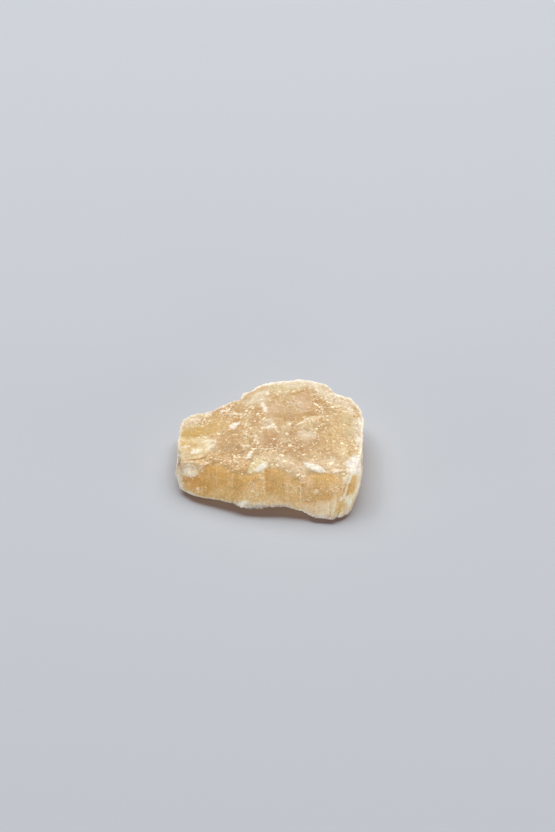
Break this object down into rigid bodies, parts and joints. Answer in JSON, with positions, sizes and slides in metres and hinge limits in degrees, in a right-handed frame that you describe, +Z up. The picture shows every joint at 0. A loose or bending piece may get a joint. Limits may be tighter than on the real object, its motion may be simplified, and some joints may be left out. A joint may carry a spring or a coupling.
{
  "type": "raw calcite piece",
  "caption": "Rough lump of honey calcite: broken faceted top, smooth leaning cleavage front, slabbed right end, flat patch underneath to rest on.",
  "frame": {"origin": "on the resting plane, under the middle of the lump's bounding box", "axes": "+X along the length towards the slabbed end, -Y towards the smooth cleavage front, +Z up out of the broken top"},
  "size_m": [0.0586, 0.0502, 0.0177],
  "materials": {
    "honey_calcite": "translucent honey stone, waxy on cleavage faces, frosted white where edges are bruised"
  },
  "bodies": {
    "root": {"calcite_piece": "honey_calcite"}
  },
  "joints": []
}
